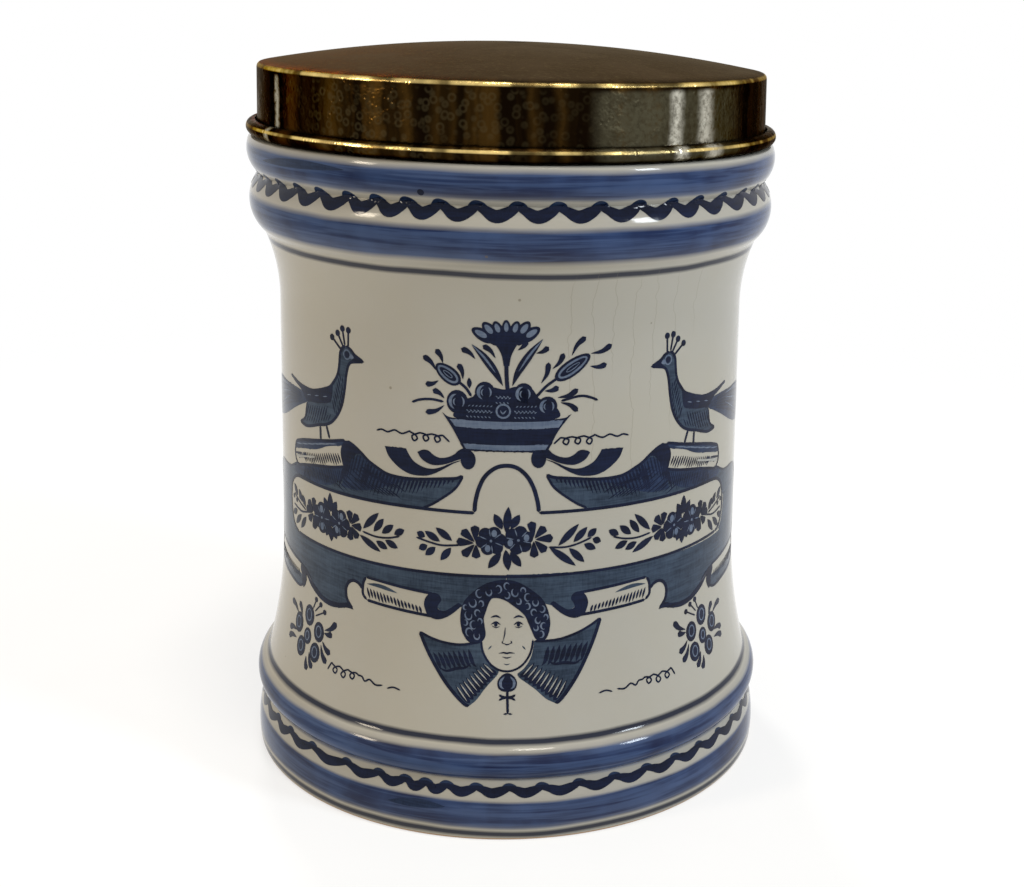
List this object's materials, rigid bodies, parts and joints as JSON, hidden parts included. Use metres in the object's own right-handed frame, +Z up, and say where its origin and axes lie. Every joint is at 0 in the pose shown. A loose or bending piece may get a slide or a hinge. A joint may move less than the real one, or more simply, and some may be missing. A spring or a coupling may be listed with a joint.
{
  "type": "apothecary jar",
  "caption": "Round glazed earthenware storage jar with a waisted body, rolled rim and foot, and a lift-off brass cap with a cork liner.",
  "frame": {"origin": "centre of the foot ring's resting face", "axes": "+Z up along the jar's axis, -Y towards the viewer and the painted front"},
  "size_m": [0.1156, 0.1156, 0.1555],
  "materials": {
    "glazed_pottery": "gloss tin-white glaze with blue brushwork",
    "cap_brass": "tarnished",
    "liner_cork": "plain cork"
  },
  "bodies": {
    "jar": {"jar_body": "glazed_pottery"},
    "lid": {"lid_cap": "cap_brass", "lid_liner": "liner_cork"}
  },
  "joints": [
    {"name": "lid_lift", "type": "slide", "parent": "jar", "child": "lid", "axis": [0, 0, 1], "range_m": [0, 0.03]}
  ]
}
